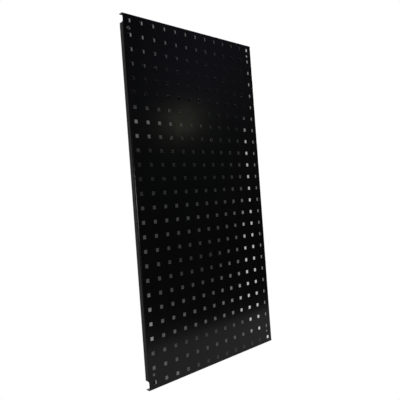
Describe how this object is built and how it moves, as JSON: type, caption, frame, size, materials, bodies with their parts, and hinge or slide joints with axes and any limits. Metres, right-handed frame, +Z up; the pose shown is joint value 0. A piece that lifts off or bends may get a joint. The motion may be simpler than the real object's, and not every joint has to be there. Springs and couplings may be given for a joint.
{
  "type": "square-hole tool panel",
  "caption": "Tall folded sheet-steel panel with a square-hole grid, four countersunk mounting holes and notched side flanges.",
  "frame": {"origin": "centre of the panel in the plane of its front face, which is also the centre of its four mounting holes", "axes": "+X across the panel to its right as seen from the front, +Y from the front face backwards to the wall, +Z up the panel"},
  "size_m": [0.495, 0.016, 0.9876],
  "materials": {
    "black_powder_coat": "semi-gloss black powder coat"
  },
  "bodies": {
    "root": {"face_sheet": "black_powder_coat", "top_edge": "black_powder_coat", "bottom_edge": "black_powder_coat", "left_edge": "black_powder_coat", "right_edge": "black_powder_coat"}
  },
  "joints": []
}
